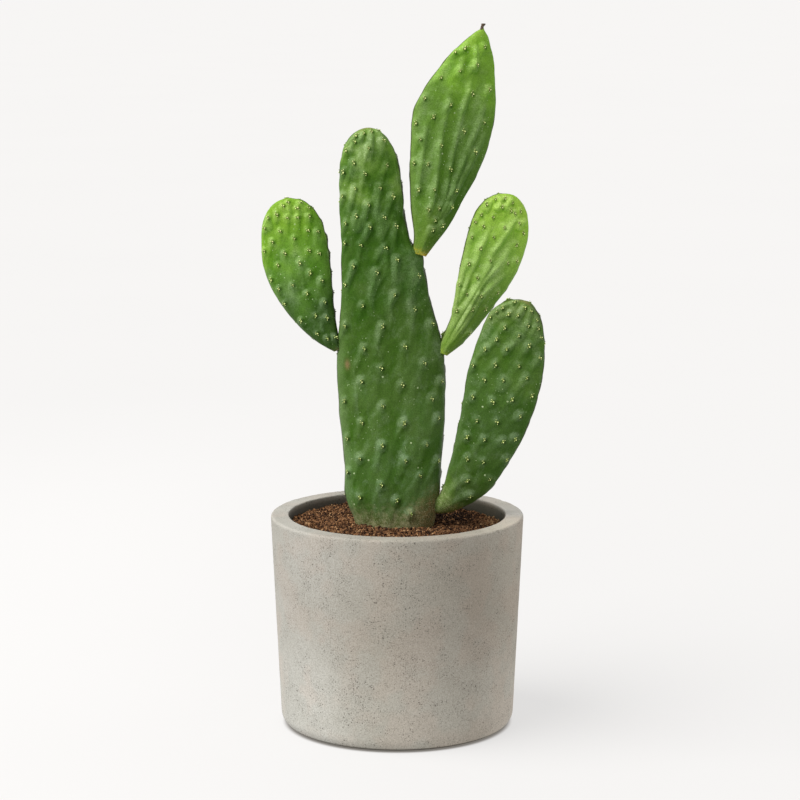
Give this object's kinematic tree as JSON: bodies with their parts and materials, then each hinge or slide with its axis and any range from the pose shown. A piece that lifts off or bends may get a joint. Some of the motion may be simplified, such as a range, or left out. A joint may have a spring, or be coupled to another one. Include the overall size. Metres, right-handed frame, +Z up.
{
  "type": "potted paddle cactus",
  "caption": "Upright paddle cactus: a tall flat pad with younger pads growing from its edges, in gritty soil in a round concrete pot with a thick rim, a rounded foot and a drain hole",
  "frame": {"origin": "on the pot's axis, at the level of the surface that the pot stands on", "axes": "+Z up; the flat side of the tall pad faces -Y; +X to the right seen from the front"},
  "size_m": [0.2, 0.18, 0.4967],
  "materials": {
    "concrete": "cast warm grey concrete with fine pores",
    "soil": "loose dark brown crumbs",
    "old_pad": "waxy deep green skin, corky at the foot",
    "mid_pad": "waxy mid green skin",
    "young_pad": "waxy yellow-green skin"
  },
  "bodies": {
    "root": {"pot": "concrete", "soil": "soil", "trunk_pad": "old_pad", "left_pad": "young_pad", "top_pad": "mid_pad", "right_pad": "young_pad", "low_pad": "mid_pad"}
  },
  "joints": []
}
